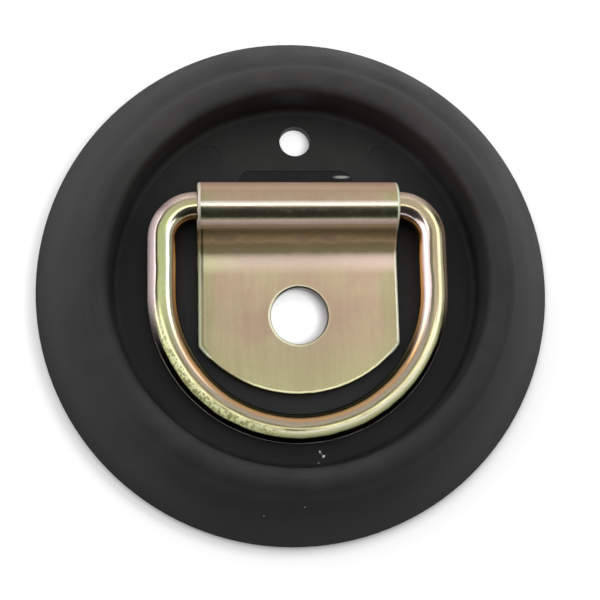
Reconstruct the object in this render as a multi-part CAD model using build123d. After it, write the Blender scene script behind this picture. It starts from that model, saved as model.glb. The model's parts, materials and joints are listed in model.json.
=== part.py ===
from build123d import *
from math import acos, asin, cos, degrees, hypot, radians, sin, tan
import os

# Surface-mounted tie-down ring for trailers, racks and caravans.
# A round moulded plastic dish carries a folded steel strap, held by one bolt through its middle.
# The strap wraps over the straight bar of a steel D-ring, which lies in the dish and swings up.
# Millimetres. +Z points away from the mounting surface, which is the plane Z = 0.
# +Y points from the bolt towards the small screw hole, and the ring lies towards -Y.

# Dish, a moulded shell
EDGE_H = 1.2               # upright outer edge, before the slope starts
CREST_Z = 15.5             # height of the circle along the top of the rim
CROWN_R = 5.0              # rounding from the crest to the outer slope
CROWN_TURN = 45.0          # degrees turned by that rounding
LIP_R = 2.3                # rounding from the crest into the recess
SLOPE_W = 13.875           # from the crest out to the edge, seen from above
FINGER_GAP = 5.3           # from the ring, lying down, to the recess wall
WALL_DRAFT = 2.5           # degrees that the recess wall leans outwards
FLOOR_T = 2.8              # thickness of the floor
FLOOR_FILLET = 1.2         # rounding between wall and floor
SKIN_T = 2.4               # thickness of rim and wall
FOOT_W = 2.0               # width of the edge that stands on the mounting surface
RIB_COUNT = 8              # ribs under the rim
RIB_T = 1.8
BOLT_HOLE_SLACK = 1.0      # the floor's bolt hole is this much wider than the strap's
SCREW_HOLE_D = 7.0         # hole for the second fastener
SCREW_FROM_BAR = 16.6      # from the ring's bar to that hole

# Shallow marks that the mould leaves on the floor
MARK_DEPTH = 0.2
MARK_D = 5.2               # round ejector marks
MARK_SPAN = 39.0           # between the two outer marks
MARK_FROM_BAR = 12.8
SLOT_MARK_SPAN = 20.6      # between the end centres of the long mark behind the eye
SLOT_MARK_FROM_BAR = 7.0

# D-ring, bent from round wire
WIRE_D = 6.35              # 1/4 in
RING_REACH = 48.9          # from the bar to the far end, along the centreline
RING_CORNER_R = 7.3        # centreline radius of the two corners at the bar
BAR_SPARE = 0.275          # straight bar beyond each side of the strap
BAR_Y = 16.4               # place of the bar
REST_GAP = 0.3             # under the far end of the ring when it lies down

# Strap, folded from flat steel
STRAP_T = 2.0
STRAP_W = 44.45            # 1 3/4 in
EYE_SLACK = 0.25           # the eye is this much wider than the wire
BEND_R = 8.8               # hollow bend between the plate and the eye, on the top face
CURL = 20.0                # degrees that the end of the strap runs on under the bar
TIP_R = 28.3               # radius of the plate's round end
TIP_GAP = 4.325            # from the tip of the plate to the inside of the ring
TIP_CORNER_R = 2.0
BOLT_HOLE_D = 12.5
BOLT_FROM_BAR = 24.0       # from the bar to the bolt hole
STRAP_EDGE_R = 0.6         # rounded upper edge of the strap
HOLE_EDGE_R = 0.45         # rounded upper edge of the bolt hole

# Sizes that follow from these
EYE_IN_R = (WIRE_D + EYE_SLACK) / 2
EYE_OUT_R = EYE_IN_R + STRAP_T
BAR_Z = FLOOR_T + EYE_OUT_R
BOLT_Y = BAR_Y - BOLT_FROM_BAR
SCREW_Y = BAR_Y + SCREW_FROM_BAR
REST_Z = FLOOR_T + REST_GAP + WIRE_D / 2
REST_TILT = degrees(asin((BAR_Z - REST_Z) / RING_REACH))
PLATE_TOP = FLOOR_T + STRAP_T
TIP_FROM_BAR = RING_REACH - WIRE_D / 2 - TIP_GAP
RING_BOW_R = STRAP_W / 2 + BAR_SPARE + RING_CORNER_R    # centreline radius of the round end

# The recess goes round the far end of the ring and round its corners at the bar
FAR_END_R = RING_REACH + WIRE_D / 2 - BAR_Y
CORNER_R = hypot(RING_BOW_R - RING_CORNER_R, BAR_Y - RING_CORNER_R) + RING_CORNER_R + WIRE_D / 2
CREST_R = max(FAR_END_R, CORNER_R) + FINGER_GAP + LIP_R
DISH_R = CREST_R + SLOPE_W


def rim_section():
    """Half section of the dish, still solid under the rim, and the radius at the foot of its wall."""
    crest = (CREST_R, CREST_Z)
    crown = JernArc(start=crest, tangent=(1, 0), radius=CROWN_R, arc_size=-CROWN_TURN)
    slope = TangentArc([crown @ 1, (DISH_R, EDGE_H)], tangent=crown % 1)
    lip = JernArc(start=crest, tangent=(-1, 0), radius=LIP_R, arc_size=90 - WALL_DRAFT)
    wall_run = (lip @ 1).Y - FLOOR_T
    wall_foot = ((lip @ 1).X - wall_run * tan(radians(WALL_DRAFT)), FLOOR_T)
    wall = Line(lip @ 1, wall_foot)
    rest = Polyline(wall_foot, (0, FLOOR_T), (0, 0), (DISH_R, 0), (DISH_R, EDGE_H))
    section = make_face([crown, slope, lip, wall, rest])
    foot = section.vertices().sort_by_distance((*wall_foot, 0))[0]
    return fillet(foot, FLOOR_FILLET), wall_foot[0]


def dish_hollow(foot_r):
    """The open space under the rim: flat-sided pockets between ribs, a skin's thickness from the rim."""
    crown_turn = radians(CROWN_TURN)
    shoulder = (
        CREST_R + (CROWN_R - SKIN_T) * sin(crown_turn),
        CREST_Z - CROWN_R + (CROWN_R - SKIN_T) * cos(crown_turn),
    )
    roof = (CREST_R - LIP_R + SKIN_T, CREST_Z - SKIN_T)
    pocket = make_face(Polyline((foot_r + SKIN_T, -SKIN_T), roof, shoulder, (DISH_R - FOOT_W, 0),
                                (DISH_R - FOOT_W, -SKIN_T), close=True))
    hollow = revolve(Plane.XZ * pocket, Axis.Z)
    for i in range(RIB_COUNT):
        turn = Rot(0, 0, (i + 0.5) * 360 / RIB_COUNT)
        hollow -= turn * Pos(DISH_R / 2, 0, 0) * Box(DISH_R, RIB_T, 2 * CREST_Z + 1)
    return hollow


def dish():
    """Round dish: sloped rim, recess with a flat floor, two holes, hollow below."""
    section, foot_r = rim_section()
    body = revolve(Plane.XZ * section, Axis.Z)
    body -= dish_hollow(foot_r)
    bolt_r = (BOLT_HOLE_D + BOLT_HOLE_SLACK) / 2
    body -= Pos(0, BOLT_Y, FLOOR_T / 2) * Cylinder(bolt_r, 2 * FLOOR_T)
    body -= Pos(0, SCREW_Y, FLOOR_T / 2) * Cylinder(SCREW_HOLE_D / 2, 2 * FLOOR_T)
    marks = Pos(0, BAR_Y + SLOT_MARK_FROM_BAR) * SlotCenterToCenter(SLOT_MARK_SPAN, MARK_D)
    for side in (-1, 1):
        marks += Pos(side * MARK_SPAN / 2, BAR_Y + MARK_FROM_BAR) * Circle(MARK_D / 2)
    body -= extrude(Pos(0, 0, FLOOR_T - MARK_DEPTH) * marks, 2 * MARK_DEPTH)
    return body


def strap_line(shift):
    """Side view of one face of the strap, this far above its middle layer, as (Y, Z)."""
    bend = BEND_R + STRAP_T / 2
    eye = EYE_IN_R + STRAP_T / 2
    level = FLOOR_T + STRAP_T / 2
    rise = degrees(acos((level + bend - BAR_Z) / (bend + eye)))
    bend_y = BAR_Y - (bend + eye) * sin(radians(rise))
    tail = Line((BAR_Y - TIP_FROM_BAR - STRAP_T, level + shift), (bend_y, level + shift))
    hollow = JernArc(start=tail @ 1, tangent=(1, 0), radius=bend - shift, arc_size=rise)
    loop = JernArc(start=hollow @ 1, tangent=hollow % 1, radius=eye + shift, arc_size=-(rise + 180 + CURL))
    return [tail, hollow, loop]


def upper_rim(body, upper):
    """Edges round the strap's outer face: its two sides and the round end, not the seams between bends."""
    near = 0.01
    face_line = Wire(upper)
    rim = []
    for edge in body.edges():
        middle = edge @ 0.5
        on_face = face_line.distance_to(Vector(middle.Y, middle.Z, 0)) < near
        on_side = abs(abs(middle.X) - STRAP_W / 2) < near
        at_tip = abs(middle.Z - PLATE_TOP) < near and edge.geom_type == GeomType.CIRCLE
        if (on_face and on_side and abs((edge % 0.5).X) < near) or at_tip:
            rim.append(edge)
    return rim


def strap():
    """Flat plate with a round end and a bolt hole, folded into an eye over the ring's bar."""
    upper = strap_line(STRAP_T / 2)
    lower = strap_line(-STRAP_T / 2)
    ends = [Line(upper[0] @ 0, lower[0] @ 0), Line(upper[2] @ 1, lower[2] @ 1)]
    side = make_face(upper + lower + ends)
    body = extrude(Plane.YZ * side, STRAP_W / 2, both=True)
    tip_y = BAR_Y - TIP_FROM_BAR + TIP_R
    length = TIP_FROM_BAR + 2 * EYE_OUT_R
    plan = Circle(TIP_R) + Pos(0, length / 2) * Rectangle(2 * TIP_R, length)
    plan &= Rectangle(STRAP_W, 2 * length)
    corners = plan.vertices().sort_by(Axis.Y)[:2]
    plan = fillet(corners, TIP_CORNER_R)
    body &= extrude(Pos(0, tip_y, 0) * plan, 2 * CREST_Z)
    body = fillet(upper_rim(body, upper), STRAP_EDGE_R)
    body -= Pos(0, BOLT_Y, FLOOR_T) * Cylinder(BOLT_HOLE_D / 2, 4 * STRAP_T)
    mouth = body.edges().filter_by(GeomType.CIRCLE).sort_by_distance((0, BOLT_Y, PLATE_TOP))[0]
    return fillet(mouth, HOLE_EDGE_R)


def ring():
    """Closed D of round wire, lying down with its far end just above the floor."""
    half_bar = RING_BOW_R - RING_CORNER_R
    bow_y = RING_REACH - RING_BOW_R
    bar = Line((-half_bar, 0), (half_bar, 0))
    corner_a = JernArc(start=bar @ 1, tangent=(1, 0), radius=RING_CORNER_R, arc_size=-90)
    leg_a = Line(corner_a @ 1, (RING_BOW_R, -bow_y))
    bow = JernArc(start=leg_a @ 1, tangent=(0, -1), radius=RING_BOW_R, arc_size=-180)
    leg_b = Line(bow @ 1, (-RING_BOW_R, -RING_CORNER_R))
    corner_b = JernArc(start=leg_b @ 1, tangent=(0, 1), radius=RING_CORNER_R, arc_size=-90)
    path = Wire([bar, corner_a, leg_a, bow, leg_b, corner_b])
    flat = sweep(Plane.YZ * Circle(WIRE_D / 2), path=path)
    return Pos(0, BAR_Y, BAR_Z) * Rot(REST_TILT, 0, 0) * flat


os.makedirs("parts", exist_ok=True)
export_step(dish(), "parts/dish.step")
export_step(strap(), "parts/strap.step")
export_step(ring(), "parts/ring.step")
print("dish %.2f mm across, ring %.2f wide, at rest %.2f degrees"
      % (2 * DISH_R, 2 * RING_BOW_R + WIRE_D, REST_TILT))
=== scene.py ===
# %% [markdown]
# # A tie-down ring: looks for a finished CAD model
# The object is a round black plastic dish with a folded steel strap in its middle.
# The strap's eye holds the straight bar of a steel D-ring, which lies in the dish and swings up.
# The shapes come from the CAD model, in metres, with the mounting surface at Z = 0.
# This lesson gives the three pieces their finishes, and sets up the camera, the ground and the lamps.

# %% Load the fixed frame
import json
import math
import random

import bmesh
import bpy
from mathutils import Euler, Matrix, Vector, noise
from mathutils.bvhtree import BVHTree


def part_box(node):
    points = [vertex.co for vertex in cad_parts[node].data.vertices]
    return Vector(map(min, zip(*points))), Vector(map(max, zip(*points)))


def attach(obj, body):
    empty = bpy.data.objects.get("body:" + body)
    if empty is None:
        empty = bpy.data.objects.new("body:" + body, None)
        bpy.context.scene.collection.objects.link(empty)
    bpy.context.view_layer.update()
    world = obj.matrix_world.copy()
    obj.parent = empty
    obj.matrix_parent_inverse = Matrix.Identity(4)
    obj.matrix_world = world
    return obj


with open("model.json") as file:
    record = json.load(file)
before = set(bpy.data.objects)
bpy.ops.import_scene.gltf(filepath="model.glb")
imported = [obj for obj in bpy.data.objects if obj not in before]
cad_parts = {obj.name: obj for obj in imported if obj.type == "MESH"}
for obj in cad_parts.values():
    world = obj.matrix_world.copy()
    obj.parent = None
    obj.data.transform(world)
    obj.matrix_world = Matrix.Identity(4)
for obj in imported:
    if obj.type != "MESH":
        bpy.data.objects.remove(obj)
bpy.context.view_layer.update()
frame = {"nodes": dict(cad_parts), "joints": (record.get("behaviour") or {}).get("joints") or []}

MM = 0.001
dish = frame["nodes"]["dish"]
strap = frame["nodes"]["strap"]
ring = frame["nodes"]["ring"]
scene = bpy.context.scene
scene.view_settings.view_transform = "Standard"
for name in ("dish", "strap", "ring"):
    low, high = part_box(name)
    print(name, "is", [round(side / MM, 2) for side in high - low], "mm")

# %% [markdown]
# ## Where things are on the object
# A finish often follows the shape, and so do the light and shade painted into it here: the bands
# of the hollow bend, the pale line round the bolt hole's mouth and the bands round the wire. So the
# places of the bar, the plate and the ring are worked out here.
# The bar is the joint's own axis, and the rest comes from the boxes of the three pieces. From here
# on the object's own places are in millimetres, and only what Blender itself needs is in metres.

# %% Places on the object
WIRE_R = 3.175

bar = Vector(frame["joints"][0]["pos_m"]) / MM
strap_low, strap_high = [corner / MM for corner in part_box("strap")]
ring_low, ring_high = [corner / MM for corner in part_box("ring")]
dish_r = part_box("dish")[1].x / MM
plate_tip = strap_low.y
plate_half = strap_high.x
bow_r = ring_high.x - WIRE_R
ring_reach = bar.y - ring_low.y - WIRE_R
print("bar at", [round(v, 2) for v in bar], "mm, ring's reach", round(ring_reach, 2), "mm")

# %% [markdown]
# ## Camera
# The photograph is taken from close by and almost straight above, a little left of and below the
# middle of the picture, so the far side of the dish shows more of its slope than the near side.
# The place, the lean and the lens come from matching the outline, the holes, the strap and the ring
# with the picture. The object isn't in the middle of the lens's view, which a small shift gives.

# %% Camera
CAMERA_PLACE = Vector((-21.73, -50.11, 273.0))
CAMERA_LEAN = (13.06, -7.98, -0.25)
SENSOR_W = 36
LENS = 73.88
SHIFT = -0.12
CLIP_START = 10

camera_data = bpy.data.cameras.new("camera")
camera_data.sensor_width = SENSOR_W
camera_data.lens = LENS
camera_data.shift_x = SHIFT
camera_data.shift_y = SHIFT
camera_data.clip_start = CLIP_START * MM
camera = bpy.data.objects.new("camera", camera_data)
scene.collection.objects.link(camera)
camera.location = CAMERA_PLACE * MM
camera.rotation_mode = "ZYX"
camera.rotation_euler = [math.radians(turn) for turn in CAMERA_LEAN]
scene.camera = camera
print("camera", round((CAMERA_PLACE - bar).length), "mm from the bar")

# %% [markdown]
# ## Numbers made of shader nodes
# A procedural finish is a graph of nodes, and written out in full it hides what it is for. An
# `Amount` is a number that nodes work out at every spot of a surface. A sum of amounts, such as
# `share * 0.2 + 0.8`, adds the nodes for it, so that a finish reads like arithmetic. `smooth` takes
# where a change starts and where it ends, mostly in millimetres along an axis of the object.
# `between` takes where a band starts, where it ends, and how soft its two ends are.


# %% Amounts
class Amount:
    """A number that shader nodes work out; plus, minus, times and divided by add the nodes."""

    def __init__(self, socket):
        self.socket = socket
        self.tree = socket.id_data

    def __add__(self, other):
        return calc("ADD", self, other)

    def __radd__(self, other):
        return calc("ADD", other, self)

    def __sub__(self, other):
        return calc("SUBTRACT", self, other)

    def __rsub__(self, other):
        return calc("SUBTRACT", other, self)

    def __mul__(self, other):
        return calc("MULTIPLY", self, other)

    def __truediv__(self, other):
        return calc("DIVIDE", self, other)

    def __abs__(self):
        return calc("ABSOLUTE", self)


def wire(node, inputs):
    """Sets inputs, each by name or number, to a value or to another node's output."""
    for name, value in inputs.items():
        if isinstance(value, Amount):
            value = value.socket
        if isinstance(value, bpy.types.NodeSocket):
            node.id_data.links.new(value, node.inputs[name])
        else:
            node.inputs[name].default_value = value


def put(tree, kind, inputs=None, **settings):
    """Adds a node with its settings and inputs."""
    made = tree.nodes.new(kind)
    for name, value in settings.items():
        setattr(made, name, value)
    wire(made, inputs or {})
    return made


def calc(operation, *values):
    """One step of a Math node; at least one of the values is an amount."""
    tree = next(value.tree for value in values if isinstance(value, Amount))
    return Amount(put(tree, "ShaderNodeMath", dict(enumerate(values)), operation=operation).outputs[0])


def most(first, *others):
    """The largest of some amounts."""
    for other in others:
        first = calc("MAXIMUM", first, other)
    return first


def long_side(first, second):
    """Length of the long side over two sides at a right angle."""
    return calc("SQRT", calc("POWER", first, 2) + calc("POWER", second, 2))


def smooth(value, start, end):
    """0 before start, 1 after end, and a soft change between them."""
    inputs = {"Value": value, "From Min": start, "From Max": end}
    made = put(value.tree, "ShaderNodeMapRange", inputs, interpolation_type="SMOOTHSTEP")
    return Amount(made.outputs[0])


def between(value, start, end, soft):
    """1 from start to end, with soft ends."""
    return smooth(value, start - soft, start + soft) - smooth(value, end - soft, end + soft)


def ranged(value, low, high):
    """Moves an amount from between 0 and 1 to between low and high."""
    inputs = {"Value": value, "To Min": low, "To Max": high}
    return Amount(put(value.tree, "ShaderNodeMapRange", inputs).outputs[0])


print("amounts can be added, subtracted, multiplied, divided and compared")

# %% [markdown]
# ## Colours, places and clouds
# `bands` turns an amount into a colour along a row of stops, and `blend` mixes two colours. A
# `cloud` is soft noise, whose size is in millimetres, because a grain of 0.2 is easier to picture
# than one of 0.0002. Given to `smooth` with two numbers near 0.5, a cloud becomes patches with soft
# edges. Every finish starts with the place of a spot on its piece, in the piece's own axes, so that
# the finish goes along when the piece swings.


# %% Colours, places and clouds
CLOUD_ROUGHNESS = 0.55


def scaled(vector, factor):
    """A colour or a place times a number or an amount."""
    inputs = {0: vector, "Scale": factor}
    return put(vector.id_data, "ShaderNodeVectorMath", inputs, operation="SCALE").outputs[0]


def stretched(place, factors):
    """A place with each of its three parts times a factor of its own."""
    inputs = {0: place, 1: factors}
    return put(place.id_data, "ShaderNodeVectorMath", inputs, operation="MULTIPLY").outputs[0]


def parts(vector):
    """The X, Y and Z of a place."""
    return [Amount(side) for side in put(vector.id_data, "ShaderNodeSeparateXYZ", {0: vector}).outputs]


def from_point(place, point):
    """How far a place is from a point."""
    made = put(place.id_data, "ShaderNodeVectorMath", {0: place, 1: point}, operation="DISTANCE")
    return Amount(made.outputs["Value"])


def bands(amount, stops):
    """Colour along a row of (place, colour) stops, smooth from one to the next."""
    made = put(amount.tree, "ShaderNodeValToRGB", {"Fac": amount})
    row = made.color_ramp.elements
    while len(row) < len(stops):
        row.new(0.5)
    for stop, (place, colour) in zip(row, stops):
        stop.position = place
        stop.color = (*colour, 1)
    return made.outputs["Color"]


def blend(share, first, second):
    """Mixes two colours; share 0 gives the first."""
    inputs = {0: share}
    for slot, value in ((6, first), (7, second)):
        inputs[slot] = value if isinstance(value, bpy.types.NodeSocket) else (*value, 1)
    return put(share.tree, "ShaderNodeMix", inputs, data_type="RGBA").outputs[2]


def cloud(place, size, detail=3):
    """Soft noise from 0 to 1, whose patches are about this many millimetres across."""
    inputs = {"Vector": place, "Scale": 1 / size, "Detail": detail, "Roughness": CLOUD_ROUGHNESS}
    return Amount(put(place.id_data, "ShaderNodeTexNoise", inputs).outputs["Fac"])


def new_material(name, **look):
    """A material with its shader, and the place of a spot in millimetres."""
    material = bpy.data.materials.new(name)
    material.use_nodes = True
    tree = material.node_tree
    shader = tree.nodes["Principled BSDF"]
    names = {"colour": "Base Color", "roughness": "Roughness", "specular": "Specular IOR Level"}
    wire(shader, {names[key]: value for key, value in look.items()})
    place = scaled(put(tree, "ShaderNodeTexCoord").outputs["Object"], 1 / MM)
    return material, shader, place


def add_bump(shader, height, strength, depth):
    """Lets an amount tilt the surface, with the depth in millimetres."""
    inputs = {"Height": height, "Strength": strength, "Distance": depth * MM}
    wire(shader, {"Normal": put(shader.id_data, "ShaderNodeBump", inputs).outputs[0]})


def dress(piece, material):
    """Puts one finish on the whole of a piece."""
    piece.data.materials.clear()
    piece.data.materials.append(material)
    print(piece.name, "wears", material.name, "with", len(material.node_tree.nodes), "nodes")


print("cloud, bands and blend are ready")

# %% [markdown]
# ## Ground
# The picture's ground is white paper. A pale plane under the object catches its soft shadow, and
# the paper's white comes from its colour. For rays that the camera sees directly, in gloss or
# through glass, a little is added, so that the paper reaches white without more light on the object.
# Where the paper shows through the two holes of the dish more is added, which paints light there,
# and less at their right side, which paints a soft shade. Right beside the dish nothing is added,
# because it would wash out the narrow shadow there. That zone reaches further on the near left, so
# it paints the shadow widest there.
# The paper is large, because the metal mirrors it near the horizon.

# %% Ground
PAPER_SIZE_M = 3.0
PAPER_BELOW = 0.02
PAPER_COLOUR = (0.90, 0.90, 0.90, 1)
PAPER_LIFT = 0.20
HOLE_LIFT = 0.60
HOLE_FADE = 3.2
BRIGHT_IN_HOLES = [((-1.3, -6.8, 0), 7.7), ((-1.5, 33.4, 0), 5.8)]
SHADOW_SHIFT = (-0.8, -0.5, 0)
SHADOW_W = 2.6


def seen_directly(tree):
    """1 for rays from the camera, and for rays that gloss or glass sends on."""
    rays = put(tree, "ShaderNodeLightPath").outputs
    return most(*[Amount(rays[name]) for name in ("Is Camera Ray", "Is Glossy Ray", "Is Transmission Ray")])


white_paper, shader, place = new_material("white_paper", colour=PAPER_COLOUR, roughness=0.9, specular=0.1)
tree = white_paper.node_tree
# Painted light where the paper shows through the holes, less at their right side: a painted shade
inside = 0
for middle, reach in BRIGHT_IN_HOLES:
    inside = smooth(from_point(place, middle), reach, reach - HOLE_FADE) + inside
# No light is added right beside the dish, further out on the near left: this paints the shadow wider there
outside = smooth(from_point(place, SHADOW_SHIFT), dish_r, dish_r + SHADOW_W)
amount = outside * PAPER_LIFT + inside * HOLE_LIFT
lift = put(tree, "ShaderNodeEmission", {"Strength": seen_directly(tree) * amount})
both = put(tree, "ShaderNodeAddShader", {0: shader.outputs[0], 1: lift.outputs[0]})
wire(tree.nodes["Material Output"], {"Surface": both.outputs[0]})

bpy.ops.mesh.primitive_plane_add(size=PAPER_SIZE_M, location=(0, 0, -PAPER_BELOW * MM))
paper = bpy.context.object
paper.name = "paper"
paper.data.materials.append(white_paper)
print("paper", PAPER_SIZE_M, "m wide")

# %% [markdown]
# ## Surroundings
# The world is plain white wherever it is seen, directly or as a reflection in the metal. As light
# it is weaker from the near side, where the round end of the D lies, than from the far side, because
# the photograph's shadow and the darker slope of the dish are both on the near side.

# %% Surroundings
NEAR_LIGHT = 0.15
FAR_LIGHT = 1.90
FAR_START = (-0.4, 1.0)

sky = bpy.data.worlds.new("white_surroundings")
scene.world = sky
sky.use_nodes = True
tree = sky.node_tree
direction = put(tree, "ShaderNodeTexCoord").outputs["Generated"]
far_share = smooth(parts(direction)[1], *FAR_START)
light = far_share * (FAR_LIGHT - NEAR_LIGHT) + NEAR_LIGHT
level = seen_directly(tree) * (1 - light) + light
wire(tree.nodes["Background"], {"Color": (1, 1, 1, 1), "Strength": level})
print("the world sheds", NEAR_LIGHT, "to", FAR_LIGHT, "and shows 1")

# %% [markdown]
# ## Lamps and a black card
# Bright metal looks like what stands round it. In the photograph the strap's eye mirrors a bright
# strip almost overhead, and a dark side below it, towards the round end of the D. A soft box high up
# gives the strip, and a black card on that side gives the dark: photographers use one to draw the
# shape of bright metal. Two more soft boxes, left and right, draw the lines along the ring's legs.
# Each thing stands at a turn and a tilt from the middle of the dish, and the camera doesn't see it.
# These sizes are in metres. A brightness of 1 looks white.

# %% Lamps and card
STAND_OFF = 0.8
BOX_W = 0.90
# Name, turn, tilt, height, brightness and colour of each soft box
SOFT_BOXES = [
    ("box_above", -90, 4, 0.155, 2.6, (1.0, 1.0, 1.0)),
    ("box_right", 8, 46, 0.26, 2.0, (1.0, 0.99, 0.97)),
    ("box_left", 172, 58, 0.34, 2.2, (1.0, 0.93, 0.95)),
]
CARD_TURN = -90
CARD_TILT = 43
CARD_SIZE = (1.3, 0.96, 1)
CARD_COLOUR = (0.02, 0.02, 0.02, 1)


def towards(turn, tilt):
    """Direction from the dish: turn from +X towards +Y, tilt from straight above, both in degrees."""
    turn, tilt = math.radians(turn), math.radians(tilt)
    return Vector((math.cos(turn) * math.sin(tilt), math.sin(turn) * math.sin(tilt), math.cos(tilt)))


def stand(thing, turn, tilt):
    """Puts a lamp or card at the stand-off and faces it to the dish; only the camera doesn't see it."""
    thing.location = towards(turn, tilt) * STAND_OFF
    thing.rotation_euler = towards(turn, tilt).to_track_quat("Z", "Y").to_euler()
    thing.visible_camera = False


for name, turn, tilt, height, brightness, colour in SOFT_BOXES:
    data = bpy.data.lights.new(name, "AREA")
    data.shape = "RECTANGLE"
    data.size = BOX_W
    data.size_y = height
    data.energy = brightness * math.pi * BOX_W * height
    data.color = colour
    lamp = bpy.data.objects.new(name, data)
    scene.collection.objects.link(lamp)
    stand(lamp, turn, tilt)
    print(name, "gives", round(data.energy, 2), "W")

black_card = new_material("black_card", colour=CARD_COLOUR, roughness=1.0, specular=0.0)[0]
bpy.ops.mesh.primitive_plane_add(size=1)
card = bpy.context.object
card.name = "black_card"
card.scale = CARD_SIZE
card.data.materials.append(black_card)
stand(card, CARD_TURN, CARD_TILT)
print("card at", [round(v, 2) for v in card.location])

# %% [markdown]
# ## Black moulded plastic: its colours, with painted light and shade
# The dish is injection moulded in black plastic with a satin surface. Nothing in it is pure black
# or even. The floor is darker at the near end, which is painted shade, and a little paler behind
# the eye, which is painted light. The slope is paler at the two sides than at the near and far
# ones, which is painted light, and painted shade darkens the far slope and the foot of the slope
# all round. The crest of the rim is greyer than the slopes, and painted light makes it paler still
# on the far side, most of all at its lip. The long mark behind the eye is darker, and a short pale
# painted glint crosses it.
# The rings of colour follow the distance from the middle of the dish, as the dish is round.

# %% Plastic colours
FLOOR_GREY = (0.021, 0.021, 0.021)
PAINTED_NEAR_FLOOR_SHADE = (0.010, 0.010, 0.010)
PAINTED_FAR_FLOOR_LIGHT = (0.027, 0.027, 0.026)
SLOPE_GREY = (0.0135, 0.0135, 0.0135)
PAINTED_SIDE_SLOPE_LIGHT = (0.025, 0.025, 0.025)
PAINTED_FAR_SLOPE_SHADE = (0.007, 0.007, 0.007)
PAINTED_FOOT_SHADE = (0.0095, 0.0095, 0.0095)
CREST_GREY = (0.026, 0.026, 0.026)
PAINTED_FAR_CREST_LIGHT = (0.036, 0.035, 0.034)
PAINTED_FAR_LIP_LIGHT = (0.048, 0.047, 0.046)
PAINTED_GLINT_GREY = (0.30, 0.30, 0.29)
# Along Y
PAINTED_NEAR_SHADE_FADE = (-33, -42)
PAINTED_FAR_FLOOR_FADE = (14, 32)
PAINTED_FAR_SHADE_FADE = (16, 42)
PAINTED_FAR_CREST_FADE = (0, 40)
PAINTED_FAR_LIP_FADE = (5, 35)
# Along X
PAINTED_SIDE_LIGHT_FADE = (15, 42)
PAINTED_FAR_SHADE_LEFT_FADE = (-30, 0)
PAINTED_FAR_SHADE_AT_LEFT = 0.4
# From the crest outwards
SLOPE_W = 13.85
SLOPE_START = (-4, 4)
PAINTED_FAR_SHADE_START = (0, 5)
PAINTED_FOOT_SHADE_START = (9, 14)
CREST_BAND = (-3, 4, 2)
PAINTED_LIP_BAND = (-2.0, -0.8, 0.8)
# The mark on the floor and the painted glint across it
LONG_MARK_Y = 23.4
LONG_MARK_HALF = 10.3
LONG_MARK_EDGE = (2.7, 2.4)
PAINTED_GLINT_X = 10.5
PAINTED_GLINT_Y = 24.6
PAINTED_GLINT_HALF_W = 2.0
PAINTED_GLINT_HALF_H = 0.38
PAINTED_GLINT_EDGE = (1.2, 0.5)

black_plastic, shader, place = new_material("black_plastic", specular=0.1)
x, y = parts(place)[:2]
crest_r = dish_r - SLOPE_W
past_crest = long_side(x, y) - crest_r

# Painted shade: the floor is darker at the near end, beyond the ring's bow
floor = blend(smooth(y, *PAINTED_NEAR_SHADE_FADE), FLOOR_GREY, PAINTED_NEAR_FLOOR_SHADE)
# Painted light: the floor behind the eye is made paler
floor = blend(smooth(y, *PAINTED_FAR_FLOOR_FADE), floor, PAINTED_FAR_FLOOR_LIGHT)
past_mark = most(abs(x) - LONG_MARK_HALF, 0)
in_mark = smooth(long_side(past_mark, y - LONG_MARK_Y), *LONG_MARK_EDGE)
floor = blend(in_mark, floor, SLOPE_GREY)
# A short pale painted glint across the long mark
from_painted_glint = long_side((x - PAINTED_GLINT_X) / PAINTED_GLINT_HALF_W, (y - PAINTED_GLINT_Y) / PAINTED_GLINT_HALF_H)
floor = blend(smooth(from_painted_glint, *PAINTED_GLINT_EDGE), floor, PAINTED_GLINT_GREY)

# Painted light: the slope is paler at the two sides
slope = blend(smooth(abs(x), *PAINTED_SIDE_LIGHT_FADE), SLOPE_GREY, PAINTED_SIDE_SLOPE_LIGHT)
# Painted shade: the far slope is darker, less so on the left, to dim the white it mirrors
painted_far_shade = smooth(x, *PAINTED_FAR_SHADE_LEFT_FADE) * (1 - PAINTED_FAR_SHADE_AT_LEFT) + PAINTED_FAR_SHADE_AT_LEFT
painted_far_shade = painted_far_shade * smooth(y, *PAINTED_FAR_SHADE_FADE) * smooth(past_crest, *PAINTED_FAR_SHADE_START)
slope = blend(painted_far_shade, slope, PAINTED_FAR_SLOPE_SHADE)

colour = blend(smooth(past_crest, *SLOPE_START), floor, slope)
# Painted shade: the outer foot of the slope is darker all round
colour = blend(smooth(past_crest, *PAINTED_FOOT_SHADE_START), colour, PAINTED_FOOT_SHADE)
# The crest is greyer than the slopes; painted light makes it paler on the far side
crest_with_painted_light = blend(smooth(y, *PAINTED_FAR_CREST_FADE), CREST_GREY, PAINTED_FAR_CREST_LIGHT)
colour = blend(between(past_crest, *CREST_BAND), colour, crest_with_painted_light)
# Painted light on the lip of the far side
painted_lip_light = between(past_crest, *PAINTED_LIP_BAND) * smooth(y, *PAINTED_FAR_LIP_FADE)
colour = blend(painted_lip_light, colour, PAINTED_FAR_LIP_LIGHT)
print("crest of the rim at", round(crest_r, 2), "mm from the middle, slope to", round(dish_r, 2), "mm")

# %% [markdown]
# ## Black moulded plastic: its surface
# The mould was bead blasted, which leaves a grain finer than a millimetre. Soft patches show where
# fingers and packing have rubbed the plastic. A grain as bump breaks up the reflection without
# changing the outline, and the roughness follows two clouds of different size, a coarse one for the
# rubbed patches and a fine one for the grain.

# %% Plastic surface
RUBBED_SIZE = 9
RUBBED_PATCH = (0.35, 0.7)
RUBBED_SHADE = (0.9, 1.15)
RUBBED_ROUGHNESS = (0.44, 0.52)
GRAIN_SIZE = 0.35
GRAIN_ROUGHNESS = 0.12
GRAIN_STRENGTH = 0.25
GRAIN_DEPTH = 0.04

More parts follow.
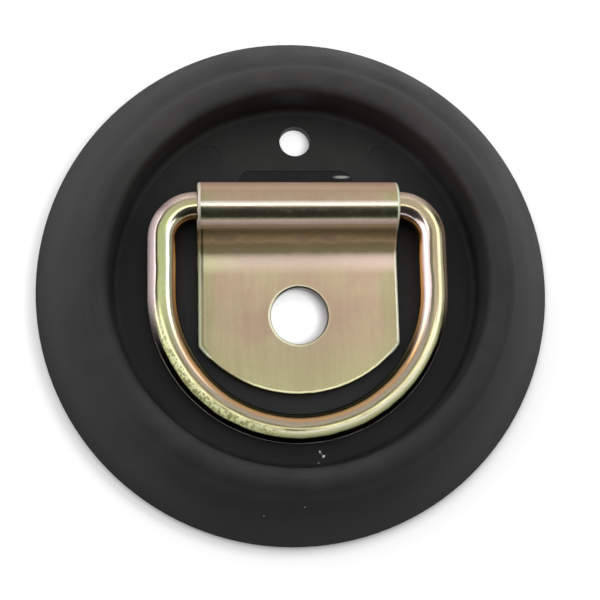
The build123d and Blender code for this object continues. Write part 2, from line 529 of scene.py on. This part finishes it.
rubbed = smooth(cloud(place, RUBBED_SIZE), *RUBBED_PATCH)
grain = cloud(place, GRAIN_SIZE)
roughness = ranged(rubbed, *RUBBED_ROUGHNESS) + (grain - 0.5) * GRAIN_ROUGHNESS
colour = scaled(colour, ranged(rubbed, *RUBBED_SHADE))
wire(shader, {"Base Color": colour, "Roughness": roughness})
add_bump(shader, grain, GRAIN_STRENGTH, GRAIN_DEPTH)
dress(dish, black_plastic)

# %% [markdown]
# ## Yellow zinc plating
# Strap and ring are steel with a zinc coat and a yellow chromate film over it. The film is so thin
# that light interferes in it, so its colour drifts between straw, pink, olive and pale green.
# A true thin-film shader would need its thickness everywhere. Here soft clouds choose between the
# film's colours, which keeps them in place on the metal when the ring swings.
# The coat isn't a clean mirror: where it is hazy it scatters light, so the metal share is lower.

# %% Plating shared by strap and ring
STRAW = (0.42, 0.345, 0.215)
PINK = (0.40, 0.29, 0.20)
OLIVE = (0.33, 0.31, 0.165)
GREEN = (0.42, 0.46, 0.22)
# The rose, cream and dark below are no film tints: the pale ones are painted highlights and reflections, the
# dark one painted shade and dark reflections
ROSE_PAINTED_LIGHT = (0.84, 0.70, 0.67)
CREAM_PAINTED_HIGHLIGHT = (0.72, 0.69, 0.42)
AMBER = (0.50, 0.28, 0.12)
BROWN = (0.30, 0.205, 0.10)
DARK_PAINTED_SHADE_AND_REFLECTION = (0.035, 0.033, 0.022)
METAL_SHARE = 0.98
METAL_LOST_IN_HAZE = 0.85
ROUGHER_IN_HAZE = 0.15
SPECKLE_SIZE = 0.9
SPECKLE = (0.96, 1.04)
PATCH_SIZE = 3.5
PATCHES = (-0.05, 0.05)
BUMP_SIZE = 0.6
BUMP_STRENGTH = 0.3


def plate_with_zinc(shader, place, film_and_painted_light, haze, roughness, depth):
    """Connects a colour, film with painted light and shade, to the shader; where there is haze it scatters
    more and mirrors less.
    """
    speckle = ranged(cloud(place, SPECKLE_SIZE, detail=2), *SPECKLE)
    patches = ranged(cloud(place, PATCH_SIZE), *PATCHES)
    wire(shader, {
        "Base Color": scaled(film_and_painted_light, speckle),
        "Metallic": METAL_SHARE - haze * METAL_LOST_IN_HAZE,
        "Roughness": haze * ROUGHER_IN_HAZE + (patches + roughness),
    })
    add_bump(shader, cloud(place, BUMP_SIZE, detail=1), BUMP_STRENGTH, depth)


print("metal share", METAL_SHARE, "where clean and", round(METAL_SHARE - METAL_LOST_IN_HAZE, 2), "in haze")

# %% [markdown]
# ## Strap: the plate
# On the plate the film is straw with pink clouds. It is greener where the bath ran off, at the
# edges and the tip. It is a little brighter towards the bend, partly painted light where the
# bend's highlight spreads, and on the right. Fine streaks run along the strap, from the rolling of
# the sheet.
# All of this follows places on the strap: how far a spot is from the outline, from the bar and from
# the tip. Painting by faces would be simpler, but the bands aren't where the faces end.

# %% Strap plate
TIP_R = 28.3
TIP_FADE = (17, 2)
EDGE_FADE = (6, 1)
GREENER_SHARE = 0.8
PINK_SIZE = 7
PINK_PATCH = (0.35, 0.65)
TONE = 0.785
TONE_AT_BEND = 0.20
BEND_FADE = (26, 14)
TONE_ON_RIGHT = 0.12
RIGHT_FADE = (2, 18)
STREAK_SIZE = 1.2
STREAK_LENGTH = 10
STREAK_TONE = 0.22
WOBBLE_SIZE = 1.6
EDGE_WOBBLE = 0.25

yellow_zinc, shader, place = new_material("yellow_zinc_on_strap")
x, y, z = parts(place)
before_bar = bar.y - y
above_bar = z - bar.z
from_tip_centre = y - (plate_tip + TIP_R)
wobble = cloud(place, WOBBLE_SIZE) - 0.5
side_gap = plate_half - abs(x)
tip_gap = TIP_R - long_side(x, calc("MINIMUM", from_tip_centre, 0))
outline_gap = wobble * EDGE_WOBBLE + calc("MINIMUM", side_gap, tip_gap)

film_and_painted_light = blend(smooth(cloud(place, PINK_SIZE), *PINK_PATCH), STRAW, PINK)
greener = most(smooth(outline_gap, *EDGE_FADE), smooth(y - plate_tip, *TIP_FADE))
film_and_painted_light = blend(greener * GREENER_SHARE, film_and_painted_light, OLIVE)
# Brighter towards the bend, partly painted light where the bend's highlight spreads, and on the right
tone = smooth(before_bar, *BEND_FADE) * TONE_AT_BEND + smooth(x, *RIGHT_FADE) * TONE_ON_RIGHT + TONE
streaks = cloud(stretched(place, (1, 1 / STREAK_LENGTH, 1)), STREAK_SIZE, detail=2) - 0.5
film_and_painted_light = scaled(film_and_painted_light, streaks * STREAK_TONE + tone)
print("plate", round(2 * plate_half, 2), "mm wide, its tip at Y", round(plate_tip, 2), "mm")

# %% [markdown]
# ## Strap: the hollow bend
# In the hollow bend the colour goes through brown, a bright orange line and olive: painted shade
# under the eye, a painted highlight and a painted reflection. Where the bend runs out into the plate
# the metal is hazy, with a pale painted highlight, pinker on the right and greener on the left. The
# stops are the millimetres before the bar, and a cloud makes the bands uneven.

# %% Strap bend
HOLLOW = (5.4, 9.9, 0.6)
HOLLOW_SHARE = 0.9
HOLLOW_SPAN = 14
HOLLOW_PAINTED_LIGHT_STOPS = [(5.2, (0.40, 0.28, 0.14)), (6.2, (0.30, 0.21, 0.10)), (6.9, (0.42, 0.29, 0.15)),
                (7.7, (0.88, 0.60, 0.34)), (8.25, (0.58, 0.43, 0.24)), (9.2, (0.50, 0.42, 0.21))]
HOLLOW_END = (9.1, 11.2)
HOLLOW_FADE = (15.2, 12.2)
HOLLOW_END_SHARE = 0.8
UNEVEN_SIZE = 3
UNEVEN_BY = 1.3
BEND_HIGHLIGHT_MIDDLE = (0.62, 0.50, 0.385)
BEND_HIGHLIGHT_RIGHT = (0.74, 0.58, 0.475)
BEND_HIGHLIGHT_LEFT = (0.64, 0.60, 0.36)
BEND_HIGHLIGHT_RIGHT_START = (4, 20)
BEND_HIGHLIGHT_LEFT_START = (-11, -20)

bend_place = (cloud(place, UNEVEN_SIZE) - 0.5) * UNEVEN_BY + before_bar
hollow = between(before_bar, *HOLLOW)
# Painted shade, a painted highlight and a painted reflection across the hollow bend
hollow_painted_light = bands(bend_place / HOLLOW_SPAN, [(stop / HOLLOW_SPAN, tint) for stop, tint in HOLLOW_PAINTED_LIGHT_STOPS])
film_and_painted_light = blend(hollow * HOLLOW_SHARE, film_and_painted_light, hollow_painted_light)
hollow_end = smooth(bend_place, *HOLLOW_END) * smooth(before_bar, *HOLLOW_FADE)
# Pale painted highlight where the bend runs out into the plate, pinker on the right, greener on the left
bend_painted_highlight = blend(smooth(x, *BEND_HIGHLIGHT_RIGHT_START), BEND_HIGHLIGHT_MIDDLE, BEND_HIGHLIGHT_RIGHT)
bend_painted_highlight = blend(smooth(x, *BEND_HIGHLIGHT_LEFT_START), bend_painted_highlight, BEND_HIGHLIGHT_LEFT)
film_and_painted_light = blend(hollow_end * HOLLOW_END_SHARE, film_and_painted_light, bend_painted_highlight)
print("hollow bend from", HOLLOW[0], "to", HOLLOW[1], "mm before the bar")

# %% [markdown]
# ## Strap: the eye
# The eye's back is brownish. From its crown to its front the colour lies in bands that follow the
# angle round the bar: a grey painted highlight along the crown, greenish film with pale flecks on the
# front, then a hazy pink line that is a painted reflection, and below it a brownish haze, painted
# light on the shaded underside of the front. The far edge is hazy too. The angle is 0 on top of the
# eye and grows towards the near side.

# %% Strap eye
EYE_BACK = (0.37, 0.25, 0.165)
FAR_EDGE = (0.41, 0.275, 0.19)
FRONT_PAINTED_REFLECTION = (0.95, 0.74, 0.64)
UNDER_FRONT_PAINTED_LIGHT = (0.80, 0.56, 0.36)
CROWN_PAINTED_HIGHLIGHT = (0.55, 0.49, 0.41)
EYE_FRONT = (0.38, 0.44, 0.30)
# Millimetres before the bar
EYE_START = (5.6, 5.2)
EYE_BACK_START = (0.5, -4.5)
FAR_EDGE_START = (-2.2, -3.1)
UNDER_FRONT_START = (5.9, 4.8)
# Millimetres above the bar
FAR_EDGE_RISE = (-0.3, 1.0)
# Degrees round the bar
CROWN_HIGHLIGHT_BAND = (1, 14, 2.5)
EYE_FRONT_BAND = (17, 45, 3)
FRONT_REFLECTION_BAND = (48, 64, 2)
UNDER_FRONT_TURN = (61, 65)
TURN_WOBBLE = 3
# Shares of the film's colours and of the painted light
UNDER_FRONT_SHARE = 0.85
CROWN_HIGHLIGHT_SHARE = 0.85
EYE_FRONT_SHARE = 0.6
FLECK_SIZE = 0.9
FLECK_PATCH = (0.50, 0.70)

on_eye = smooth(before_bar, *EYE_START)
film_and_painted_light = blend(on_eye * smooth(before_bar, *EYE_BACK_START), film_and_painted_light, EYE_BACK)
far_edge = on_eye * smooth(before_bar, *FAR_EDGE_START) * smooth(above_bar, *FAR_EDGE_RISE)
film_and_painted_light = blend(far_edge, film_and_painted_light, FAR_EDGE)
round_bar = wobble * TURN_WOBBLE + calc("DEGREES", calc("ARCTAN2", before_bar, above_bar))
# Painted reflection: a hazy pink line on the eye's front
front_painted_reflection = on_eye * between(round_bar, *FRONT_REFLECTION_BAND)
film_and_painted_light = blend(front_painted_reflection, film_and_painted_light, FRONT_PAINTED_REFLECTION)
# Painted light: a brownish haze lightens the shaded front below it
painted_light_under_front = smooth(before_bar, *UNDER_FRONT_START) * smooth(round_bar, *UNDER_FRONT_TURN)
film_and_painted_light = blend(painted_light_under_front * UNDER_FRONT_SHARE, film_and_painted_light, UNDER_FRONT_PAINTED_LIGHT)
# Painted highlight: a grey band along the crown
crown_highlight = on_eye * between(round_bar, *CROWN_HIGHLIGHT_BAND)
film_and_painted_light = blend(crown_highlight * CROWN_HIGHLIGHT_SHARE, film_and_painted_light, CROWN_PAINTED_HIGHLIGHT)
eye_front = on_eye * between(round_bar, *EYE_FRONT_BAND)
film_and_painted_light = blend(eye_front * EYE_FRONT_SHARE, film_and_painted_light, EYE_FRONT)
fleck = eye_front * smooth(cloud(place, FLECK_SIZE), *FLECK_PATCH)
# How hazy each of them is
hazes = [(far_edge, 0.95), (hollow, 0.3), (front_painted_reflection, 0.9), (painted_light_under_front, 0.9), (fleck, 0.13),
         (hollow_end, 0.75)]
haze = most(*[part * share for part, share in hazes])
print("eye reaches", round(strap_high.z - bar.z, 2), "mm above the bar's axis")

# %% [markdown]
# ## Strap: the sheared edges
# The edges were sheared and then rounded in the barrel: along them lies a pale hazy painted
# highlight. On the left edge a dark line of painted shade lies beside it, stronger towards the bend,
# and at the left of the tip, where there are nicks, the edge is dark. In the bend the painted
# highlight fades, and on the eye the painted shade does.

# %% Strap edges
# Where the lines lie, in millimetres from the outline
PALE_IN = 0.58
PALE_IN_LEFT = 0.20
PALE_IN_TIP = 0.1
PALE_IN_SOFT = 0.08
PALE_OUT_TIP = 0.28
PALE_OUT_LEFT = 0.16
PALE_OUT_SOFT = 0.06
DARK_LINE = (0.80, 1.35, 0.1)
NICKS = (0.75, 0.55)
# Where left edge, tip and nicks start
LEFT_START = (-19, -21)
TIP_START = (-19.0, -20.5)
NICKS_START = (-8, -15)
# How strong the lines are
DARK_SHARE = 0.4
DARK_MORE_AT_BEND = 0.35
DARK_FADE = (20, 12)
DARK_LOST_ON_EYE = 0.9
PALE_LOST_IN_BEND = 0.8
PALE_LOST_AT_NICKS = 0.85
PALE_HAZE = 0.9
EDGE_HIGHLIGHT_RIGHT = (0.96, 0.97, 0.80)
EDGE_HIGHLIGHT_TIP = (0.88, 0.86, 0.52)
EDGE_HIGHLIGHT_LEFT = (0.42, 0.46, 0.31)
EYE_EDGE_HIGHLIGHT_RIGHT = (0.66, 0.70, 0.52)
EYE_EDGE_HIGHLIGHT_LEFT = (0.60, 0.55, 0.47)

at_left = smooth(x, *LEFT_START)
at_tip = smooth(from_tip_centre, *TIP_START)
nicked = at_tip * smooth(x, *NICKS_START)
line_in = at_tip * (1 - at_left) * PALE_IN_TIP + (at_left * PALE_IN_LEFT + PALE_IN)
line_out = most(at_tip * PALE_OUT_TIP, at_left * PALE_OUT_LEFT)
# Pale hazy painted highlight along the rounded edges
edge_highlight_line = smooth(outline_gap - line_in, PALE_IN_SOFT, -PALE_IN_SOFT)
edge_highlight_line = edge_highlight_line - smooth(outline_gap - line_out, PALE_OUT_SOFT, -PALE_OUT_SOFT)
edge_highlight_line = edge_highlight_line * (1 - hollow * PALE_LOST_IN_BEND) * (1 - nicked * PALE_LOST_AT_NICKS)
# Painted shade beside the left edge, stronger towards the bend; the edge is dark too where the nicks are,
# left of the tip
dark_line = most(between(outline_gap, *DARK_LINE) * at_left, nicked * smooth(outline_gap, *NICKS))
dark_line = dark_line * (1 - on_eye * DARK_LOST_ON_EYE)
dark_share = smooth(before_bar, *DARK_FADE) * DARK_MORE_AT_BEND + DARK_SHARE
film_and_painted_light = blend(dark_line * dark_share, film_and_painted_light, DARK_PAINTED_SHADE_AND_REFLECTION)
# Colours of the painted edge highlight
edge_highlight = blend(at_left, blend(at_tip, EDGE_HIGHLIGHT_RIGHT, EDGE_HIGHLIGHT_TIP), EDGE_HIGHLIGHT_LEFT)
edge_highlight = blend(on_eye, edge_highlight, blend(at_left, EYE_EDGE_HIGHLIGHT_RIGHT, EYE_EDGE_HIGHLIGHT_LEFT))
film_and_painted_light = blend(edge_highlight_line, film_and_painted_light, edge_highlight)
haze = most(haze, edge_highlight_line * PALE_HAZE)
print("pale line", PALE_IN, "mm wide on the right edge")

# %% [markdown]
# ## Strap: the bolt hole's mouth
# The barrel rounded the mouth of the punched hole. At its far right painted shade darkens the mouth,
# and round the rest there is a pale painted highlight, which is stronger on the left. The eye mirrors
# more sharply than the plate, so the roughness is lower there.

# %% Strap bolt hole
BOLT_FROM_BAR = 24.0
BOLT_R = 6.25
MOUTH_WOBBLE = 0.15
FAR_RIGHT = (0.6, 0.8)
FAR_RIGHT_START = (-2.5, 1.5)
DARK_MOUTH = (0.42, 0.26)
DARK_MOUTH_SHARE = 0.9
MOUTH_LINE = (0.10, 0.62, 0.1)
MOUTH_HIGHLIGHT = (0.72, 0.72, 0.52)
MOUTH_SHARE = 0.25
MOUTH_MORE_AT_LEFT = 0.55
MOUTH_LEFT_START = (4.33, -4.33)
MOUTH_HAZE = 0.6
STRAP_ROUGHNESS = 0.305
EYE_SMOOTHER = 0.075
STRAP_BUMP = 0.012

past_bolt = BOLT_FROM_BAR - before_bar
from_mouth = wobble * MOUTH_WOBBLE + (long_side(x, past_bolt) - BOLT_R)
# Painted shade at the far right of the bolt hole's mouth
far_mouth = smooth(x * FAR_RIGHT[0] + past_bolt * FAR_RIGHT[1], *FAR_RIGHT_START)
far_mouth_shade = smooth(from_mouth, *DARK_MOUTH) * far_mouth * DARK_MOUTH_SHARE
film_and_painted_light = blend(far_mouth_shade, film_and_painted_light, DARK_PAINTED_SHADE_AND_REFLECTION)
# Pale painted highlight round the rest of the mouth, stronger on the left
left_mouth = smooth(x, *MOUTH_LEFT_START) * MOUTH_MORE_AT_LEFT + MOUTH_SHARE
mouth_highlight = between(from_mouth, *MOUTH_LINE) * left_mouth * (1 - far_mouth_shade)
film_and_painted_light = blend(mouth_highlight, film_and_painted_light, MOUTH_HIGHLIGHT)
haze = most(haze, mouth_highlight * MOUTH_HAZE)
plate_with_zinc(shader, place, film_and_painted_light, haze, STRAP_ROUGHNESS - on_eye * EYE_SMOOTHER, STRAP_BUMP)
dress(strap, yellow_zinc)

# %% [markdown]
# ## Ring: the angle round the wire
# The ring is bent from round wire and polished by the barrel it was plated in, so it is brighter
# than the strap. Its film, and the reflections and highlights painted on it, change round the wire,
# so the finish needs the angle there at every spot.
# The wire's line is a rounded D, so its distance is worked out as for a rounded box at the bar and
# a circle at the bow, the D's round end, and the larger of the two counts. The turn is 0.5 on top
# of the wire, 0.25 on the inside of the D and 0.75 on the outside.

# %% Ring angle
CORNER_R = 7.3
DRIFT_SIZE = 6
DRIFT_BY = 0.035

yellow_zinc, shader, place = new_material("yellow_zinc_on_ring")
x, y, z = parts(place)
across = abs(x)
along = bar.y - y
bow_y = ring_reach - bow_r
slant = (bar.z - (ring_low.z + WIRE_R)) / ring_reach
height = z - (bar.z - along * slant)
box_x = most(across - (bow_r - CORNER_R), 0)
box_y = most(CORNER_R - along, 0)
beyond_box = long_side(box_x, box_y) - CORNER_R
beyond_bow = long_side(across, most(along - bow_y, 0)) - bow_r
outward = most(beyond_box, beyond_bow)
turn = calc("ARCTAN2", outward, height) / math.tau + 0.5
turn = turn + (cloud(place, DRIFT_SIZE, detail=2) - 0.5) * DRIFT_BY
print("bow starts", round(bow_y, 2), "mm from the bar, slant", round(slant, 3))

# %% [markdown]
# ## Ring: its bands
# The colour differs between the two legs and the bow, so each has a row of bands of its own: the
# film's tints, painted reflections and painted highlights. All are amber towards the inside of the D.
# From there outwards the left leg goes through grey, a pale painted highlight, green, a thin dark line
# and a rose painted reflection, the right leg through a rose painted highlight, a thin dark line,
# straw and a cream painted highlight, and the bow through grey, a darker band that dims the mirrored
# lamp, a cream painted highlight, green and a dark band with a pale painted reflection beside it.
# The dark bands are painted reflections of the black dish, which the wire partly mirrors. On the
# bar's front a pinkish painted light hides the mirrored dark.

# %% Ring bands
GREY_FILM = (0.26, 0.245, 0.16)
PAINTED_HIGHLIGHT_PALE = (0.66, 0.66, 0.52)
DUSK_PAINTED_REFLECTION = (0.17, 0.14, 0.09)
PAINTED_HIGHLIGHT_BRIGHT = (0.95, 0.92, 0.72)
PAINTED_PALE_REFLECTION = (0.95, 0.89, 0.80)
BAR_FRONT_PAINTED_LIGHT = (0.66, 0.50, 0.41)
LEFT_BANDS = [(0.30, AMBER), (0.358, AMBER), (0.372, GREY_FILM), (0.408, GREY_FILM), (0.42, PAINTED_HIGHLIGHT_PALE),
              (0.45, PAINTED_HIGHLIGHT_PALE), (0.465, GREEN), (0.53, GREEN), (0.543, OLIVE), (0.552, DARK_PAINTED_SHADE_AND_REFLECTION), (0.566, DARK_PAINTED_SHADE_AND_REFLECTION),
              (0.576, ROSE_PAINTED_LIGHT), (0.70, ROSE_PAINTED_LIGHT), (0.74, PINK)]
RIGHT_BANDS = [(0.28, AMBER), (0.343, AMBER), (0.36, ROSE_PAINTED_LIGHT), (0.443, ROSE_PAINTED_LIGHT), (0.455, DUSK_PAINTED_REFLECTION), (0.474, DUSK_PAINTED_REFLECTION),
               (0.488, STRAW), (0.55, STRAW), (0.563, CREAM_PAINTED_HIGHLIGHT), (0.602, CREAM_PAINTED_HIGHLIGHT), (0.62, PINK), (0.70, PINK)]
BOW_BANDS = [(0.365, DARK_PAINTED_SHADE_AND_REFLECTION), (0.385, BROWN), (0.415, AMBER), (0.437, (0.36, 0.27, 0.20)),
             (0.475, (0.36, 0.32, 0.22)), (0.49, (0.19, 0.165, 0.10)), (0.513, (0.22, 0.20, 0.10)),
             (0.527, CREAM_PAINTED_HIGHLIGHT), (0.545, PAINTED_HIGHLIGHT_BRIGHT), (0.56, CREAM_PAINTED_HIGHLIGHT), (0.60, GREEN), (0.62, DARK_PAINTED_SHADE_AND_REFLECTION),
             (0.688, DARK_PAINTED_SHADE_AND_REFLECTION), (0.708, PAINTED_PALE_REFLECTION), (0.73, PAINTED_PALE_REFLECTION), (0.74, DARK_PAINTED_SHADE_AND_REFLECTION)]
RIGHT_START = (-20, 20)
BOW_FADE = 15
BAR_START = (4.5, -2)
BAR_PAINTED_LIGHT_START = (0.54, 0.58)
BAR_SHARE = 0.85

on_right = smooth(x, *RIGHT_START)
on_bow = smooth(along, bow_y, bow_y + BOW_FADE)
near_bar = smooth(along, *BAR_START)
# The legs' and the bow's bands hold the film's tints and painted reflections and highlights
film_and_painted_light = blend(on_right, bands(turn, LEFT_BANDS), bands(turn, RIGHT_BANDS))
# Painted light over the bar's front, which otherwise mirrors the dark dish
bar_film_and_painted_light = blend(smooth(turn, *BAR_PAINTED_LIGHT_START), STRAW, BAR_FRONT_PAINTED_LIGHT)
film_and_painted_light = blend(near_bar * BAR_SHARE, film_and_painted_light, bar_film_and_painted_light)
film_and_painted_light = blend(on_bow, film_and_painted_light, bands(turn, BOW_BANDS))
print(len(LEFT_BANDS), "stops on the left,", len(RIGHT_BANDS), "on the right,", len(BOW_BANDS), "on the bow")

# %% [markdown]
# ## Ring: haze and a painted highlight
# The pale bands, painted highlights and reflections, are hazy, so that they scatter light. On the
# left half of the bow the painted highlight is pale yellow-green and mottled with small dark spots.

# %% Ring haze
BOW_PAINTED_HIGHLIGHT = (0.86, 0.90, 0.46)
MOTTLE_DARK = (0.24, 0.235, 0.07)
# Bands and starts round the wire
TOP_HAZE = (0.525, 0.61, 0.01)
EDGE_HAZE = (0.702, 0.735, 0.004)
LEFT_HAZE = (0.575, 0.71, 0.008)
RIGHT_HAZE_INSIDE = (0.358, 0.446, 0.008)
RIGHT_HAZE_OUTSIDE = (0.563, 0.61, 0.01)
RIGHT_EDGE_START = (0.61, 0.63)
BAR_HAZE_START = (0.555, 0.575)
# Starts in millimetres along the ring, and across it for the painted highlight on the bow's left half
LEFT_HAZE_START = (-2.5, 3.5)
RIGHT_HAZE_START = (3, 9)
BOW_HIGHLIGHT_START = (2, -14)
# Shares
RIGHT_HAZE_SHARE = 0.6
RIGHT_EDGE_SHARE = 0.6
BAR_HAZE_SHARE = 0.8
BOW_HIGHLIGHT_SHARE = 0.7
MOTTLE_DARK_SHARE = 0.8
MOTTLE_SIZE = 0.7
MOTTLE_PATCH = (0.44, 0.60)
RING_ROUGHNESS = 0.16
RING_BUMP = 0.01

on_leg = 1 - on_bow
left_leg = on_leg * (1 - on_right)
right_leg = on_leg * on_right
top_haze = on_bow * between(turn, *TOP_HAZE)
edge_haze = on_bow * between(turn, *EDGE_HAZE)
bow_haze = most(top_haze, edge_haze)
left_haze = left_leg * between(turn, *LEFT_HAZE) * smooth(along, *LEFT_HAZE_START)
right_haze = between(turn, *RIGHT_HAZE_INSIDE) + between(turn, *RIGHT_HAZE_OUTSIDE)
right_haze = right_leg * right_haze * smooth(along, *RIGHT_HAZE_START) * RIGHT_HAZE_SHARE
right_edge = right_leg * smooth(turn, *RIGHT_EDGE_START) * RIGHT_EDGE_SHARE
bar_haze = near_bar * smooth(turn, *BAR_HAZE_START) * BAR_HAZE_SHARE
haze = most(bow_haze, left_haze, right_haze, right_edge, bar_haze)
# Painted highlight on the left half of the bow, mottled with small dark spots
painted_bow_highlight = (bow_haze - edge_haze) * smooth(x, *BOW_HIGHLIGHT_START)
mottle = smooth(cloud(place, MOTTLE_SIZE), *MOTTLE_PATCH)
film_and_painted_light = blend(painted_bow_highlight * BOW_HIGHLIGHT_SHARE, film_and_painted_light, BOW_PAINTED_HIGHLIGHT)
film_and_painted_light = blend(painted_bow_highlight * mottle * MOTTLE_DARK_SHARE, film_and_painted_light, MOTTLE_DARK)
plate_with_zinc(shader, place, film_and_painted_light, haze, RING_ROUGHNESS, RING_BUMP)
dress(ring, yellow_zinc)
# The bow's painted highlight lies where X is below this
print("rub marks on the bow where X is below", BOW_HIGHLIGHT_START[0], "mm")

# %% [markdown]
# ## Crumbs
# A few pale crumbs of packing lie in the near part of the recess and on the rim's near slope. Real
# crumbs settle on whatever is under them, so each one is dropped straight down onto the dish and
# pressed a little way in. At less than a millimetre a lump made rough by a noise is enough.
# They are one mesh, which rides on the dish.

# %% Crumbs
# X, Y and length of each crumb, in millimetres
CRUMBS = [
    (3.97, -37.26, 0.78),
    (4.71, -38.24, 0.84),
    (4.35, -37.80, 0.25),
    (3.60, -39.60, 0.30),
    (-0.32, -48.85, 0.24),
    (-8.68, -50.34, 0.26),
]
DROP_FROM = 100
CRUMB_WIDTH = 0.6
CRUMB_HEIGHT = 0.5
CRUMB_RAISED = 0.18
LUMPS_PER_CRUMB = 3
LUMP_HEIGHT = 0.5
FOAM_STOPS = [(0.35, (0.50, 0.49, 0.45)), (0.65, (0.88, 0.87, 0.82))]
FOAM_SIZE = 0.3
CELL_SIZE = 0.08
CELL_STRENGTH = 0.5
CELL_DEPTH = 0.02
random.seed(7)

under = bmesh.new()
under.from_mesh(dish.data)
ground = BVHTree.FromBMesh(under)
under.free()
lumps = bmesh.new()
for crumb_x, crumb_y, length in CRUMBS:
    start = Vector((crumb_x, crumb_y, DROP_FROM)) * MM
    hit, normal = ground.ray_cast(start, Vector((0, 0, -1)))[:2]
    made = bmesh.ops.create_icosphere(lumps, subdivisions=2, radius=0.5)
    lie = normal.to_track_quat("Z", "Y").to_matrix() @ Euler((0, 0, random.uniform(0, math.tau))).to_matrix()
    for vert in made["verts"]:
        rough = 1 + LUMP_HEIGHT * noise.noise(vert.co * LUMPS_PER_CRUMB + Vector((crumb_x, crumb_y, 0)))
        shape = Vector((vert.co.x, vert.co.y * CRUMB_WIDTH, vert.co.z * CRUMB_HEIGHT + CRUMB_RAISED)) * rough
        vert.co = hit + lie @ (shape * length * MM)
crumb_mesh = bpy.data.meshes.new("crumbs")
lumps.to_mesh(crumb_mesh)
lumps.free()
crumbs = bpy.data.objects.new("crumbs", crumb_mesh)
scene.collection.objects.link(crumbs)

packing_foam, shader, place = new_material("packing_foam", roughness=0.95, specular=0.1)
wire(shader, {"Base Color": bands(cloud(place, FOAM_SIZE), FOAM_STOPS)})
add_bump(shader, cloud(place, CELL_SIZE, detail=2), CELL_STRENGTH, CELL_DEPTH)
dress(crumbs, packing_foam)
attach(crumbs, "dish")
print(len(CRUMBS), "crumbs,", len(crumb_mesh.polygons), "faces")
